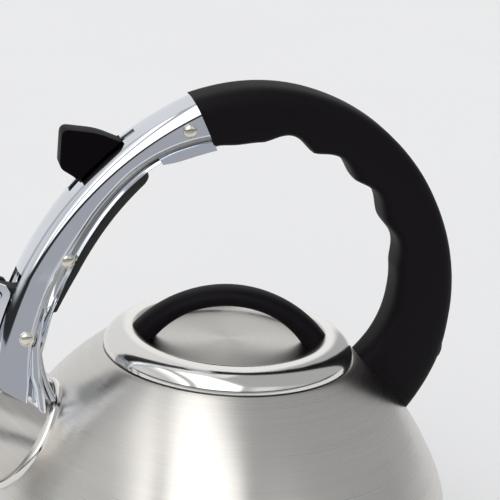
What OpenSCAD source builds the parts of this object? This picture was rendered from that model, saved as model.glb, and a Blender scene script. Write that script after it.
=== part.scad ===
/* [Body] */
// Radius of the widest part of the kettle body
belly_r = 103; // [101:0.5:104]
// Height of the widest part above the hob
belly_z = 46; // [44:1:48]
// Thickness of the body's sheet
wall = 1.2; // [1:0.1:1.6]
// Radius of the flat base cover
base_r = 82; // [78:1:83]

/* [Lid] */
// Outer radius of the polished lid rim
lid_r = 55; // [54:0.5:55.5]
// Depth of the sleeve that drops into the neck
sleeve_h = 12; // [8:1:14]
// Width of the lid's arched handle
arch_w = 14; // [11:1:15]

/* [Handle] */
// Width of the black grip
grip_w = 24.5; // [23:0.5:26]
// Outer radius of the grip's sweep
grip_ro = 95; // [94:0.5:96]
// Depth of the finger recesses
finger_d = 3.6; // [2:0.2:4.5]

/* [Bracket] */
// Outside width of the pressed channel
chan_w = 24; // [23.4:0.2:24.6]
// Sheet thickness of the channel
chan_t = 1.4; // [1.2:0.1:1.6]
// Diameter of the domed rivet heads
rivet_d = 6.4; // [5.6:0.2:7]

/* [Trigger] */
// Thickness of the sliding trigger bar
bar_t = 8; // [7:0.5:8.5]
// Thickness of the thumb tab
tab_t = 10; // [8:0.5:12]

/* [Spout and cap] */
// Outer radius of the spout at its root
spout_r = 24.3; // [24:0.1:24.5]
// Radius of the whistle cap
cap_r = 22; // [21:0.5:23]

/* [Hidden] */
$fn = 96;

// heights of the lid seat and the body seam
rim_z = 120;
seam_z = 12;
floor_z = 4.2;
// angle of the spout above level
spout_tilt = 26;
// upper dome: ellipse centred near the hob
dome_a = 111.7;
dome_b = 133.8;
dome_c = 3.5;
join_z = 74.2;

// radius of the body at a height
function dome_r(z) = dome_a * sqrt(max(0, 1 - pow((z - dome_c) / dome_b, 2)));
function belly(z) = belly_r - (belly_r - dome_r(join_z)) * pow((z - belly_z) / (join_z - belly_z), 2);
function lower(z) =
  let (t = (belly_z - z) / (belly_z - floor_z))
  belly_r - (belly_r - base_r - 2) * (1 - pow(1 - pow(t, 2.6), 1 / 2.6));
function body_r(z) = z > join_z ? dome_r(z) : z > belly_z ? belly(z) : lower(max(z, floor_z));
// point set inwards from the outer surface by d
function body_in(z, d) =
  let (k = (body_r(z + 0.05) - body_r(z - 0.05)) / 0.1, n = sqrt(1 + k * k))
  [body_r(z) - d / n, z + d * k / n];

// channel: arc about a remote centre, angles measured up from the spout side
bc = [47.7, 97.1];
r_top = 154.5;
r_lip = 138.5;
a_seam = 62.3;
function bp(a, r) = [bc[0] - r * cos(a), bc[1] + r * sin(a)];
// pins through the channel
p_grip = bp(59.5, 144.5);
p_guide = bp(28.8, 139.6);
p_cap = [-90.8, 130.2];
p_trig = [-103, 147.5];
trig_travel = 2.6;
cap_travel = 26;
// grip centre
gc = [6.4, 144.75];
grip_ri = 69.8;
// spout root and its mouth
s0 = [-91.4, 82.4];
s_mouth = 45;
mouth_r = 20.5;
arch_turn = -10;
foot_x = 39;
rivet_shaft = 3.2;

module in_xz(y0, y1) {
  translate([0, y1, 0]) rotate([90, 0, 0]) linear_extrude(y1 - y0) children();
}
module arc_sweep(a0, a1) {
  translate([bc[0], 0, bc[1]]) rotate([90, 0, 0]) rotate([0, 0, 180 - a1])
    rotate_extrude(angle = a1 - a0) children();
}
module on_spout(s = 0) {
  translate([s0[0], 0, s0[1]]) rotate([0, spout_tilt - 90, 0]) translate([0, 0, s]) children();
}
module y_pin(p, r, y0, y1) {
  translate([p[0], y1, p[1]]) rotate([90, 0, 0]) cylinder(r = r, h = y1 - y0);
}
// heights at which the body's wall is drawn
wall_z = concat([for (z = [seam_z:3:75]) z], [for (z = [78:2.5:118]) z]);
// solid of the whole body, grown by d
module body_solid(d = 0) {
  rotate_extrude() polygon(concat([[0, seam_z]],
    [for (z = wall_z) d == 0 ? [body_r(z), z] : body_in(z, -d)], [[57 + d, 118.57], [0, 122 + d]]));
}

// ---- kettle body ----
module body_shell() {
  color("silver") difference() {
    rotate_extrude() polygon(concat(
      [for (z = wall_z) [body_r(z), z]],
      [[57, 118.57], [56.2, 119.1], [55.5, 119.5], [55, 119.5], [54, 118.9], [53.2, 118.3],
        [47.05, 118.2], [47.05, 117], [55.4, 117]],
      [for (i = [len(wall_z) - 1:-1:0]) body_in(wall_z[i], wall)]));
    on_spout() translate([0, 0, -20]) cylinder(r = 20.5, h = 40);
  }
}
module neck_ring() {
  color("silver") rotate_extrude() polygon([[45.8, 109], [47, 109], [47, 118.2], [46.4, 118.2],
    [45.8, 117.6]]);
}
module base_pan() {
  color("silver") rotate_extrude() polygon(concat(
    [for (z = [floor_z:0.6:seam_z - 0.2]) [body_r(z), z]], [[body_r(seam_z), seam_z]],
    [body_in(seam_z, wall)],
    [for (z = [seam_z - 0.6:-0.6:6.6]) body_in(z, wall)], [[81, 5.4], [0, 5.4], [0, floor_z]]));
}
module heat_disc() {
  color("gainsboro") translate([0, 0, 0.8]) cylinder(r = base_r - 0.8, h = floor_z - 0.8);
}
module base_cover() {
  color("silver") difference() {
    cylinder(r = base_r, h = floor_z);
    translate([0, 0, 0.8]) cylinder(r = base_r - 0.8, h = floor_z);
  }
}

// ---- spout ----
module spout_tube() {
  color("silver") difference() {
    on_spout() rotate_extrude() polygon([
      [spout_r, -14], [spout_r, 8], [mouth_r, s_mouth], [mouth_r - 1.2, s_mouth],
      [spout_r - 1.2, 8], [spout_r - 1.2, -14]]);
    body_solid(0);
  }
}
module spout_lip() {
  color("whitesmoke") on_spout(s_mouth) rotate_extrude() polygon(concat(
    [[mouth_r - 1.2, 0.4], [mouth_r - 1.2, 0]], [[mouth_r, 0], [mouth_r, -2]],
    [for (i = [0:8]) [mouth_r + 0.1 + 1.2 * sin(i * 20), -1 - 1.2 * cos(i * 20) + 0.2]]));
}
module spout_collar() {
  color("whitesmoke") difference() {
    on_spout() rotate_extrude() polygon([[spout_r, -12], [spout_r + 3, -12], [spout_r + 3, 0.6],
      [spout_r + 2.4, 1.6], [spout_r + 0.8, 1.9], [spout_r, 1.6]]);
    body_solid(0);
  }
}

// ---- lid ----
// rim section: a broad roll outside, then a soft slope down to the disc
crest_r = lid_r - 12;
crest_z = rim_z + 8.4;
dish_r = lid_r - 19;
dish_z = rim_z + 4.2;
rim_out = [for (i = [0:9]) [crest_r + 12 * cos(i * 10), rim_z + 0.6 + 7.8 * sin(i * 10)]];
rim_in = [for (i = [1:8]) let (u = i / 8)
  [crest_r - (crest_r - dish_r) * u, dish_z + (crest_z - dish_z) * (1 + cos(180 * u)) / 2]];
module lid_rim() {
  color("whitesmoke") difference() {
    rotate_extrude() polygon(concat(
      [[lid_r - 0.6, rim_z - 0.1], [lid_r, rim_z + 0.2]], rim_out, rim_in,
      [[dish_r, rim_z + 2.3], [dish_r + 1.1, rim_z + 2.3]],
      [for (i = [7:-1:1]) [rim_in[i - 1][0] + 0.35, rim_in[i - 1][1] - 1.1]],
      [for (i = [9:-1:1]) [crest_r + 10.8 * cos(i * 10), rim_z + 0.5 + 6.8 * sin(i * 10)]],
      [[lid_r - 1.4, rim_z + 1.1], [lid_r - 6, rim_z + 1.1], [lid_r - 6, rim_z - 0.1]]));
    for (x = [-foot_x, foot_x]) rotate(arch_turn) translate([x, 0, rim_z]) cylinder(r = 1.8, h = 12);
  }
}
module lid_disc() {
  color("silver") translate([0, 0, rim_z + 2.4]) rotate_extrude() polygon(concat([[0, 0]],
    [[dish_r - 0.02, 0]],
    [for (i = [0:6]) [(dish_r - 0.02) * cos(i * 15), 0.8 + 1.2 * sin(i * 15)]]));
}
module lid_sleeve() {
  color("silver") rotate_extrude() polygon([[lid_r - 11.1, rim_z - 0.1], [lid_r - 2.2, rim_z - 0.1],
    [lid_r - 2.2, rim_z - 1.3], [lid_r - 9.8, rim_z - 1.3], [lid_r - 9.8, rim_z - sleeve_h],
    [lid_r - 11.1, rim_z - sleeve_h]]);
}
// bent bar with an oval section, following an arc between the two feet
arch_r = 48.3;
arch_z = 96.5;
module lid_handle() {
  color("#1c181c") rotate(arch_turn) difference() {
    translate([0, 0, arch_z]) rotate([90, 0, 0]) rotate([0, 0, 30]) rotate_extrude(angle = 120)
      polygon([for (i = [0:23]) [arch_r + 4 * cos(i * 15), arch_w / 2 * sin(i * 15)]]);
    // the rim and disc under its feet
    translate([0, 0, 0.05]) rotate_extrude() polygon(concat([[0, rim_z - 20], [0, rim_z + 4.45]],
      [[dish_r, dish_z + 0.1]], [for (i = [7:-1:1]) rim_in[i - 1]], [[crest_r, crest_z]],
      [for (i = [8:-1:0]) rim_out[i]], [[lid_r, rim_z - 20]]));
    for (x = [-foot_x, foot_x]) translate([x, 0, rim_z]) cylinder(r = 1.6, h = 8.6);
  }
}
module lid_screws() {
  color("lightgray") rotate(arch_turn) for (x = [-foot_x, foot_x]) translate([x, 0, rim_z - 0.6]) {
    rotate_extrude() polygon([[0, 0], [2.6, 0], [3.1, 0.5], [3.1, 2], [1.5, 2], [1.5, 7.6], [0, 8.4]]);
  }
}
module lid_washers() {
  color("lightgray") rotate(arch_turn) for (x = [-foot_x, foot_x]) translate([x, 0, rim_z + 1.4])
    difference() {
      cylinder(r = 2.4, h = 0.85);
      translate([0, 0, -1]) cylinder(r = 1.7, h = 4);
    }
}

// ---- pressed channel ----
hw = chan_w / 2;
function side_arc(rr, half, top, n) = [for (i = [0:n]) let (a = i * 90 / n)
  [top - rr + rr * sin(a), half - rr + rr * cos(a)]];
function mirror_y(p) = [for (i = [len(p) - 1:-1:0]) [p[i][0], -p[i][1]]];
module c_section() {
  o = concat([[r_lip, hw]], side_arc(4.5, hw, r_top, 6));
  i = concat([[r_lip, hw - chan_t]], side_arc(3.1, hw - chan_t, r_top - chan_t, 6));
  polygon(concat(o, mirror_y(o), [for (q = i) [q[0], -q[1]]],
    [for (k = [len(i) - 1:-1:0]) i[k]]));
}
// outline of the flared cheeks that straddle the spout
foot_edge = concat([for (a = [25:-2.5:7.5]) bp(a, r_top)], [[-107, 110], [-106, 98], [-84, 88]],
  [[-76.5, 96], [-80.5, 101], [-83.5, 107], [-85.4, 114], [-86.2, 122], [-85.9, 130]],
  [for (a = [17:2.67:25]) bp(a, r_lip)]);
foot_hollow = concat([for (a = [26:-2.5:3.5]) bp(a, r_top - chan_t)], [[-104, 80], [-60, 80]],
  [[-60, 154], [-76, 156]]);
module wedge(d) {
  rotate([90, 0, 90]) translate([0, 0, -130]) linear_extrude(80) polygon([
    [-hw + d, 170], [-hw + d, 150], [-hw - 4.9 + d, 98], [-hw - 5.8 + d, 84],
    [hw + 5.8 - d, 84], [hw + 4.9 - d, 98], [hw - d, 150], [hw - d, 170]]);
}
module front_bracket() {
  color("lightsteelblue") difference() {
    union() {
      arc_sweep(24, a_seam) c_section();
      // rolled bead along each lower edge
      for (y = [-hw, hw]) arc_sweep(22, 57) translate([r_lip + 1.1, y]) circle(r = 1.3, $fn = 20);
      // deeper cheeks where the channel meets the grip
      for (y = [-hw, hw - chan_t]) in_xz(y, y + chan_t) polygon([bp(52, r_lip + 0.4),
        bp(57, r_lip - 0.8), bp(60, r_lip - 2.4), bp(a_seam, r_lip - 4.2), bp(a_seam, r_lip + 4),
        bp(52, r_lip + 4)]);
      // flared foot
      difference() {
        intersection() {
          in_xz(-22, 22) polygon(foot_edge);
          wedge(0);
        }
        intersection() {
          in_xz(-22, 22) polygon(foot_hollow);
          wedge(chan_t);
        }
      }
    }
    // slot for the neck of the thumb tab
    intersection() {
      arc_sweep(38.3, 51.8) translate([r_top - 4, -2]) square([8, 4]);
      arc_sweep(30, 60) translate([r_top - 5, -3]) square([10, 6]);
    }
    // window that the cap arm swings through
    arc_sweep(4, 23) translate([r_top - 3, -8.6]) square([8, 17.2]);
    y_pin(p_grip, rivet_shaft / 2 + 0.05, -20, 20);
    y_pin(p_guide, rivet_shaft / 2 + 0.05, -20, 20);
    y_pin(p_cap, 2.05, -20, 20);
    on_spout() translate([0, 0, -20]) cylinder(r = spout_r + 0.05, h = 80);
    on_spout() translate([0, 0, -20]) cylinder(r = spout_r + 3.05, h = 22);
    body_solid(0.05);
  }
}
module bracket_foot() {
  color("silver") difference() {
    in_xz(-13.4, 13.4) polygon([[-84.5, 126], [-83.2, 126.4], [-82.3, 118], [-80.6, 110],
      [-77.6, 102.5], [-73.2, 95], [-76, 95], [-79.4, 102], [-82, 109.6], [-83.8, 117.8]]);
    body_solid(0.05);
    on_spout() translate([0, 0, -20]) cylinder(r = spout_r + 3.05, h = 22);
  }
}
module grip_bridge() {
  color("whitesmoke") in_xz(-hw + 1.6, hw - 1.6) polygon([bp(52.5, 139), bp(52.6, 137.6),
    bp(55, 135.1), bp(58.5, 132.9), bp(a_seam, 130.9), bp(a_seam, 132.2), bp(58.5, 134.2),
    bp(55, 136.4), bp(53.4, 138.8)]);
}
// rivet with a low domed head at each end
module rivet(p, r, half) {
  d = rivet_d / 2;
  translate([p[0], 0, p[1]]) rotate([90, 0, 0]) rotate_extrude() polygon(concat([[0, -half - 1.6]],
    [for (i = [0:5]) [d * sin(i * 18), -half - 0.4 - 1.3 * cos(i * 18)]], [[d, -half]],
    [[r, -half], [r, half], [d, half]],
    [for (i = [5:-1:0]) [d * sin(i * 18), half + 0.4 + 1.3 * cos(i * 18)]], [[0, half + 1.6]]));
}
module grip_rivet() {
  color("gainsboro") rivet(p_grip, rivet_shaft / 2, hw);
}
module guide_pin() {
  color("gainsboro") rivet(p_guide, rivet_shaft / 2, hw + 1.3);
}
module cap_pivot() {
  color("gainsboro") rivet(p_cap, 2, hw + 1.9);
}

// ---- grip ----
module ring_xz(t0, t1) {
  translate([gc[0], 0, gc[1]]) rotate([90, 0, 0]) rotate([0, 0, t0])
    rotate_extrude(angle = t1 - t0) children();
}
module seam_plane(gap) {
  translate([bc[0], 0, bc[1]]) rotate([0, -(90 - a_seam), 0]) translate([-200 - gap, -40, 0])
    cube([200, 80, 240]);
}
module rounded(r0, r1, half, c) {
  polygon([for (s = [[1, 1], [-1, 1], [-1, -1], [1, -1]]) for (i = [0:3])
    let (q = s[0] * s[1] > 0 ? i : 3 - i)
    [(s[0] > 0 ? r1 - c : r0 + c) + s[0] * c * cos(q * 30), s[1] * (half - c + c * sin(q * 30))]]);
}
module grip() {
  color("#1c181c") difference() {
    union() {
      difference() {
        union() {
          ring_xz(-40, 112) rounded(grip_ri, grip_ro, grip_w / 2, 7);
          // swelling of the rear leg down to the body
          in_xz(-grip_w / 2 + 3, grip_w / 2 - 3) polygon([[74, 176], [71.5, 166], [71.6, 154],
            [70.8, 143.5], [68.2, 136], [64.3, 128.2], [57.4, 119.9], [57, 112], [70, 96],
            [86, 100], [86, 176]]);
          in_xz(-grip_w / 2 + 0.9, grip_w / 2 - 0.9) polygon([[78, 170], [74.6, 155], [73.4, 143],
            [70.5, 134], [66.5, 127], [61, 121], [61, 112], [70, 96], [86, 100], [86, 170]]);
        }
        // finger recesses along the underside
        for (q = [[79.5, 0], [60.5, 0], [40.5, 0.8], [19, 1.8]])
          y_pin([gc[0] + (grip_ri - 10.4 + finger_d - q[1]) * cos(q[0]),
            gc[1] + (grip_ri - 10.4 + finger_d - q[1]) * sin(q[0])], 10.4, -20, 20);
        seam_plane(0);
      }
      // tongue that enters the channel
      arc_sweep(56, a_seam + 1) rounded(137.6, r_top - chan_t - 0.4, hw - chan_t - 0.1, 3);
    }
    y_pin(p_grip, rivet_shaft / 2 + 0.05, -20, 20);
    body_solid(0.05);
    rear_cut(0.05);
  }
}
// welded lug and its screw inside the grip's rear foot
module rear_frame() {
  translate([body_r(104), 0, 104]) rotate([0, 50, 0]) children();
}
module rear_cut(d) {
  rear_frame() translate([0, 0, 4.5]) cube([8 + 2 * d, 14 + 2 * d, 19 + 2 * d], center = true);
  translate([60, 0, 118]) rotate([0, 90, 0]) cylinder(r = 2.1, h = 60);
  translate([89.5, 0, 118]) rotate([0, 90, 0]) cylinder(r = 4.6, h = 30);
}
module rear_lug() {
  color("silver") difference() {
    rear_frame() translate([0, 0, 4.5]) cube([8, 14, 19], center = true);
    translate([60, 0, 118]) rotate([0, 90, 0]) cylinder(r = 1.65, h = 60);
    body_solid(0);
  }
}
module rear_screw() {
  color("lightgray") translate([77.2, 0, 118]) rotate([0, 90, 0]) rotate_extrude()
    polygon([[0, 0], [1.55, 0.8], [1.55, 12.4], [4.2, 12.4], [4.2, 14.4], [3.4, 15.2], [1.4, 15.2],
      [1.4, 14], [0, 14]]);
}
module rear_plug() {
  color("#1c181c") intersection() {
    translate([92.9, 0, 118]) rotate([0, 90, 0]) cylinder(r = 4.55, h = 20);
    ring_xz(-40, 20) rounded(grip_ri, grip_ro, grip_w / 2, 7);
  }
}

// ---- trigger ----
module bar_band(r0, r1, a0, a1) {
  intersection() {
    difference() {
      translate(bc) circle(r = r1, $fn = 200);
      translate(bc) circle(r = r0, $fn = 200);
    }
    polygon([bp(a0, r0 - 6), bp(a0, r1 + 6), bp((a0 + a1) / 2, r1 + 24), bp(a1, r1 + 6),
      bp(a1, r0 - 6)]);
  }
}
module trigger_bar() {
  color("#141414") difference() {
    union() {
      in_xz(-bar_t / 2, bar_t / 2) difference() {
        union() {
          bar_band(131.5, 149.5, 17.2, 48.6);
          bar_band(131.5, 136.5, 14.8, 18);
          bar_band(131.5, 136.2, 47, 49);
          translate(bp(49, 133.85)) circle(r = 2.35);
          // nose that reaches out of the window
          polygon([bp(17.8, 140), bp(17.4, 157), bp(17.2, 161), bp(18.5, 162), bp(19.7, 160.5),
            bp(20.2, 152), bp(22, 140)]);
        }
        // curved slot for the guide pin
        bar_band(p_guide_r - 1.9, p_guide_r + 1.9, 28.8 - trig_travel, 28.8);
        for (a = [28.8 - trig_travel, 28.8]) translate(bp(a, p_guide_r)) circle(r = 1.9);
      }
      // blade that rises through the slot into the tab
      arc_sweep(40.2, 47.6) translate([148, -1.5]) square([13, 3]);
    }
    y_pin(p_trig, 1.55, -10, 10);
    y_pin(bp(43.9, 157.4), 1.05, -10, 10);
  }
}
p_guide_r = 139.6;
tab_edge = [[-67.6, 196.3], [-74.4, 200.6], [-77.6, 203.6], [-79, 206.6], [-79.4, 215.6],
  [-78.2, 219.4], [-75.4, 221.6], [-71.8, 221.8], [-62.5, 219.6], [-55.6, 216.6], [-54.3, 213.2]];
module thumb_tab() {
  color("#1c181c") difference() {
    union() {
      in_xz(-tab_t / 2, tab_t / 2) intersection() {
        polygon(tab_edge);
        translate([1.0, -1.0]) polygon(tab_edge);
      }
      in_xz(-tab_t / 2 + 1.4, tab_t / 2 - 1.4) polygon(tab_edge);
    }
    translate([bc[0], 0, bc[1]]) rotate([90, 0, 0]) cylinder(r = r_top + 0.35, h = 60, center = true,
      $fn = 200);
    arc_sweep(40.15, 47.65) translate([150, -1.55]) square([11.1, 3.1]);
    y_pin(bp(43.9, 157.4), 1.05, -10, 10);
  }
}
module tab_pin() {
  color("gainsboro") y_pin(bp(43.9, 157.4), 1, -tab_t / 2 + 0.2, tab_t / 2 - 0.2);
}
module trigger_pin() {
  color("gainsboro") y_pin(p_trig, 1.5, -7.4, 7.4);
}

// ---- whistle cap and its arm ----
arm_edge = [[-85.6, 127.6], [-85.2, 131], [-87.3, 136], [-92, 142], [-97.9, 145.2],
  [-97.6, 148.6], [-99.2, 151.4], [-102, 152.6], [-112, 152], [-115.2, 150], [-115.6, 146],
  [-113.6, 142.6], [-112.6, 138], [-116, 134.4], [-124, 132.6], [-134.5, 130.4],
  [-139.4, 127.6], [-137.8, 123.9], [-131, 126.6], [-124, 125.6], [-114, 124.8], [-103, 125.2],
  [-94, 125.3], [-90.8, 124.4], [-87.6, 125.2]];
module cheek(y0, y1) {
  difference() {
    in_xz(y0, y1) polygon(arm_edge);
    y_pin(p_cap, 2.05, -20, 20);
    // slot that the trigger pin slides along
    in_xz(-20, 20) translate([-110.3, 147.68 - 2]) square([7.3, 4]);
    for (x = [-110.3, -103]) y_pin([x, 147.68], 2, -20, 20);
    on_spout(s_mouth) cylinder(r = cap_r + 0.02, h = 30);
  }
}
module cap_arm() {
  color("lightsteelblue") {
    cheek(-6.6, -5.1);
    cheek(5.1, 6.6);
    // cross web between the two cheeks
    difference() {
      in_xz(-5.2, 5.2) polygon([[-116.5, 133.5], [-116.5, 132.1], [-124, 130.6], [-134, 128.4],
        [-134.5, 129.8], [-124, 132]]);
      on_spout(s_mouth) cylinder(r = cap_r + 0.02, h = 30);
    }
  }
}
module arm_bridge() {
  color("lightsteelblue") difference() {
    on_spout(s_mouth) translate([cap_r - 3, -5.05, 3.2]) cube([3.7, 10.1, 9.6]);
    on_spout(s_mouth) cylinder(r = cap_r + 0.01, h = 30);
    on_spout(s_mouth + 8) rotate([0, 90, 0]) cylinder(r = 1.65, h = 40);
  }
}
module arm_rivet() {
  color("gainsboro") on_spout(s_mouth + 8) rotate([0, 90, 0]) rotate_extrude()
    polygon([[0, cap_r - 3.2], [2.6, cap_r - 3.2], [2.6, cap_r - 1.6], [1.6, cap_r - 1.6],
      [1.6, cap_r + 1.6], [2.6, cap_r + 1.6], [1.6, cap_r + 2.5], [0, cap_r + 2.7]]);
}
module whistle_cap() {
  color("whitesmoke") difference() {
    on_spout(s_mouth) rotate_extrude() polygon(concat([[cap_r - 1.5, 0.9], [cap_r, 0.9], [cap_r, 10]],
      [for (i = [1:5]) [cap_r - 4 + 4 * cos(i * 18), 10 + 4 * sin(i * 18)]],
      [[4, 15], [2.6, 14.6], [2.6, 13.6], [cap_r - 4, 12.6], [cap_r - 2, 11.6], [cap_r - 1.5, 10]]));
    on_spout(s_mouth + 8) rotate([0, 90, 0]) cylinder(r = 1.65, h = 40);
  }
}
module whistle_plate() {
  color("silver") on_spout(s_mouth) rotate_extrude() polygon([[2.4, 5.4], [2.4, 4.4], [12, 4.4],
    [13, 3.4], [14, -1.6], [15, -1.6], [14.4, 2.6], [20.45, 2.6], [20.45, 5.4]]);
}
module cap_seal() {
  color("dimgray") on_spout(s_mouth) rotate_extrude() polygon([[17, 0.7], [20.45, 0.7],
    [20.45, 2.6], [16.2, 2.6], [16.2, 1.4]]);
}
module return_spring() {
  // coil wound round the pivot, with one leg on the arm and one short tail
  sides = 8;
  steps = 4 * 18;
  wire = 0.55;
  coil = 4.2;
  rise = 5.6;
  last = steps + 2;
  path = concat([[4.2, coil, -rise / 2, 90]],
    [for (i = [0:steps]) let (a = 90 + i * 20)
      [coil * cos(a), coil * sin(a), -rise / 2 + rise * i / steps, a]],
    [[-28, coil, rise / 2, 90]]);
  pts = [for (q = path) for (j = [0:sides - 1])
    [q[0] + wire * cos(j * 45) * cos(q[3]), q[1] + wire * cos(j * 45) * sin(q[3]),
     q[2] + wire * sin(j * 45)]];
  skin = [for (i = [0:last - 1]) for (j = [0:sides - 1]) let (k = (j + 1) % sides)
    [i * sides + j, i * sides + k, (i + 1) * sides + k, (i + 1) * sides + j]];
  caps = [[for (j = [sides - 1:-1:0]) j], [for (j = [0:sides - 1]) last * sides + j]];
  color("gray") translate([p_cap[0], 0, p_cap[1]]) rotate([90, 0, 0])
    polyhedron(points = pts, faces = concat(skin, caps));
}

body_shell();
neck_ring();
base_pan();
heat_disc();
base_cover();
spout_tube();
spout_lip();
spout_collar();
lid_rim();
lid_disc();
lid_sleeve();
lid_handle();
lid_screws();
lid_washers();
front_bracket();
bracket_foot();
grip_bridge();
grip();
grip_rivet();
guide_pin();
cap_pivot();
rear_lug();
rear_screw();
rear_plug();
trigger_bar();
thumb_tab();
tab_pin();
trigger_pin();
cap_arm();
arm_bridge();
arm_rivet();
whistle_cap();
whistle_plate();
cap_seal();
return_spring();
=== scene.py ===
"""Looks of a stovetop whistling kettle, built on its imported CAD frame.

Lengths inside the classes are in millimetres, in the kettle's own frame: the
base rests on z = 0, +X points at the grip's rear foot and +Z is up. They become
metres only when a mesh is written.
"""

import logging
import math
from dataclasses import dataclass
from enum import Enum
from typing import Any, Callable, Mapping, Optional, Sequence, Union

import bmesh
import bpy
from mathutils import Matrix, Vector


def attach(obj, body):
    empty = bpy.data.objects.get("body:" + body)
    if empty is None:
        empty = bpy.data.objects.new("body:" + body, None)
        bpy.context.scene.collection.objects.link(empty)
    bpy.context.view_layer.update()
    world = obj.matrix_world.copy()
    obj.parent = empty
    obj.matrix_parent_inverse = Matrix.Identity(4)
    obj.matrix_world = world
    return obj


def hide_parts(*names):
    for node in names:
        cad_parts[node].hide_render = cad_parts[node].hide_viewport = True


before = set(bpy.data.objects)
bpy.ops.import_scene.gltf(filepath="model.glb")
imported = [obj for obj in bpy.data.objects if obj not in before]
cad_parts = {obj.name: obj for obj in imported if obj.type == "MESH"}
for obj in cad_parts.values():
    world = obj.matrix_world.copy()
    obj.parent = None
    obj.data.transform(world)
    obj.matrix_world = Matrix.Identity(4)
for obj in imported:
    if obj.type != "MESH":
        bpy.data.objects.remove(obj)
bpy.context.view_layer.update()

MM = 0.001
LOG = logging.getLogger("kettle")
Point = tuple[float, float]
Value = Union[float, str, Sequence[float], "Term", bpy.types.Object, bpy.types.Material]


class Body(Enum):
    """The CAD bodies that pieces ride on."""

    KETTLE = "kettle"
    LID = "lid"
    TRIGGER = "trigger"
    CAP = "cap"


class Slot(Enum):
    """The record's material slots."""

    BRUSHED = "brushed_steel"
    POLISHED = "polished_steel"
    CHROME = "chrome_channel"
    NICKEL = "rivet_nickel"
    GRIP = "black_grip"
    NYLON = "black_nylon"
    CORE = "aluminium_core"
    SEAL = "seal"
    SPRING = "spring_steel"


# ---------------------------------------------------------------- node graphs


class Graph:
    """A shader or geometry node tree with short ways to add to it."""

    def __init__(self, tree: bpy.types.NodeTree) -> None:
        """Wraps a tree and empties it."""
        self.tree = tree
        tree.nodes.clear()

    def add(
        self,
        kind: str,
        settings: Optional[Mapping[str, Any]] = None,
        sockets: Optional[Mapping[Union[str, int], Value]] = None,
    ) -> bpy.types.Node:
        """Adds one node.

        Args:
            kind: the node's type name.
            settings: properties set first; "stops" fills a colour ramp.
            sockets: values or links for its inputs, by name or index.

        Returns:
            The new node.
        """
        node = self.tree.nodes.new(kind)
        for key, value in (settings or {}).items():
            if key == "stops":
                ramp = node.color_ramp
                while len(ramp.elements) < len(value):
                    ramp.elements.new(0.5)
                for element, (place, shade) in zip(ramp.elements, value):
                    element.position = place
                    element.color = (*shade, 1.0)
            else:
                setattr(node, key, value)
        for key, value in (sockets or {}).items():
            target = node.inputs[key]
            if isinstance(value, Term):
                self.tree.links.new(value.socket, target)
            else:
                target.default_value = value
        return node

    def term(
        self,
        kind: str,
        output: Union[str, int] = 0,
        settings: Optional[Mapping[str, Any]] = None,
        sockets: Optional[Mapping[Union[str, int], Value]] = None,
    ) -> "Term":
        """Adds one node and wraps one of its outputs.

        Args:
            kind: the node's type name.
            output: the output's name or index.
            settings: as for add.
            sockets: as for add.

        Returns:
            The wrapped output.
        """
        return Term(self, self.add(kind, settings, sockets).outputs[output])

    def math(self, operation: str, *values: Union[float, "Term"]) -> "Term":
        """Adds a Math node on one to three values and returns its output."""
        return self.term(
            "ShaderNodeMath", 0, {"operation": operation}, dict(enumerate(values))
        )

    def noise(self, vector: "Term", scale: float, detail: float = 2.0) -> "Term":
        """Returns a noise value between 0 and 1 over a vector."""
        sockets = {"Vector": vector, "Scale": scale, "Detail": detail}
        return self.term("ShaderNodeTexNoise", "Fac", {}, sockets)

    def blend(self, amount: "Term", low: Sequence[float], high: Sequence[float]) -> "Term":
        """Mixes two colours by a factor and returns the colour."""
        ramp = {"stops": ((0.0, tuple(low)), (1.0, tuple(high)))}
        return self.term("ShaderNodeValToRGB", "Color", ramp, {"Fac": amount})

    def axes(self, vector: "Term") -> list["Term"]:
        """Splits a vector into its X, Y and Z."""
        apart = self.add("ShaderNodeSeparateXYZ", {}, {"Vector": vector})
        return [Term(self, out) for out in apart.outputs]

    def vector(self, **parts: Union[float, "Term"]) -> "Term":
        """Joins named X, Y and Z parts into a vector."""
        return self.term("ShaderNodeCombineXYZ", 0, {}, parts)


class Term:
    """A node output that Python's arithmetic turns into Math nodes."""

    def __init__(self, graph: Graph, socket: bpy.types.NodeSocket) -> None:
        """Wraps one output socket of a graph."""
        self.graph = graph
        self.socket = socket

    def __add__(self, other: Union[float, "Term"]) -> "Term":
        """self + other."""
        return self.graph.math("ADD", self, other)

    __radd__ = __add__

    def __sub__(self, other: Union[float, "Term"]) -> "Term":
        """self - other."""
        return self.graph.math("SUBTRACT", self, other)

    def __rsub__(self, other: Union[float, "Term"]) -> "Term":
        """other - self."""
        return self.graph.math("SUBTRACT", other, self)

    def __mul__(self, other: Union[float, "Term"]) -> "Term":
        """self * other."""
        return self.graph.math("MULTIPLY", self, other)

    __rmul__ = __mul__

    def __truediv__(self, other: Union[float, "Term"]) -> "Term":
        """self / other."""
        return self.graph.math("DIVIDE", self, other)

    def step(self, edge: float, soft: float) -> "Term":
        """0 below an edge and 1 above it, with a smooth change between."""
        sockets = {"Value": self, "From Min": edge - soft, "From Max": edge + soft}
        settings = {"interpolation_type": "SMOOTHSTEP"}
        return self.graph.term("ShaderNodeMapRange", 0, settings, sockets)


# ------------------------------------------------------------------- finishes


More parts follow.
